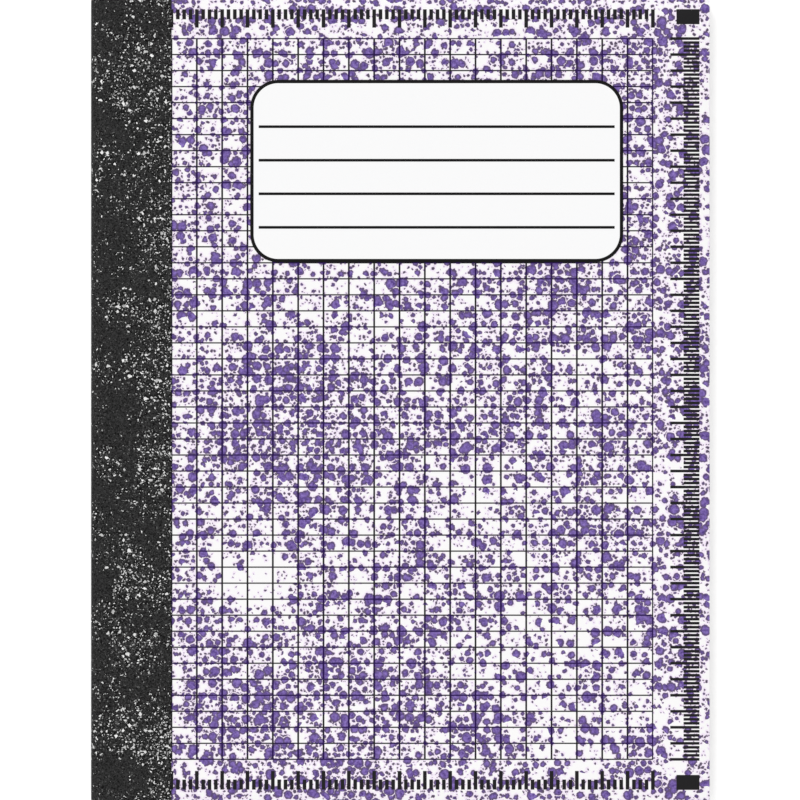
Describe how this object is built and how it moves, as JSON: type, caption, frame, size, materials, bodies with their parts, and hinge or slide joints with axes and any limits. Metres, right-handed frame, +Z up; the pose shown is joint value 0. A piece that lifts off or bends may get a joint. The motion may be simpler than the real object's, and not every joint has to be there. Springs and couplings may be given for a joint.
{
  "type": "composition notebook",
  "caption": "Centre-sewn composition notebook with marbled board covers, a taped spine, a blank ruled label and graph ruling on the front; both covers open.",
  "frame": {"origin": "under the middle of the closed notebook, on the surface it lies on", "axes": "+X from the spine to the fore edge, +Y from the tail to the head, +Z up through the front cover"},
  "size_m": [0.2159, 0.2794, 0.0082],
  "materials": {
    "marbled_board": "matt printed paper over pressed board, purple splatter on white",
    "binding_tape": "matt black binding tape with pale flecks",
    "leaves": "matt white writing paper with pale graph ruling",
    "label_paper": "matt white paper with black rules",
    "thread": "white sewing thread"
  },
  "bodies": {
    "block": {"page_block": "leaves", "cover_spine": "marbled_board", "spine_tape": "binding_tape", "binding_thread": "thread"},
    "front": {"front_cover": "marbled_board", "front_tape_lap": "binding_tape", "front_label": "label_paper"},
    "back": {"back_cover": "marbled_board", "back_tape_lap": "binding_tape"}
  },
  "joints": [
    {"name": "front_cover_hinge", "type": "hinge", "parent": "block", "child": "front", "pos_m": [-0.10385, 0, 0.0082], "axis": [0, -1, 0], "range_deg": [0, 180]},
    {"name": "back_cover_hinge", "type": "hinge", "parent": "block", "child": "back", "pos_m": [-0.10385, 0, 0], "axis": [0, 1, 0], "range_deg": [0, 180]}
  ]
}
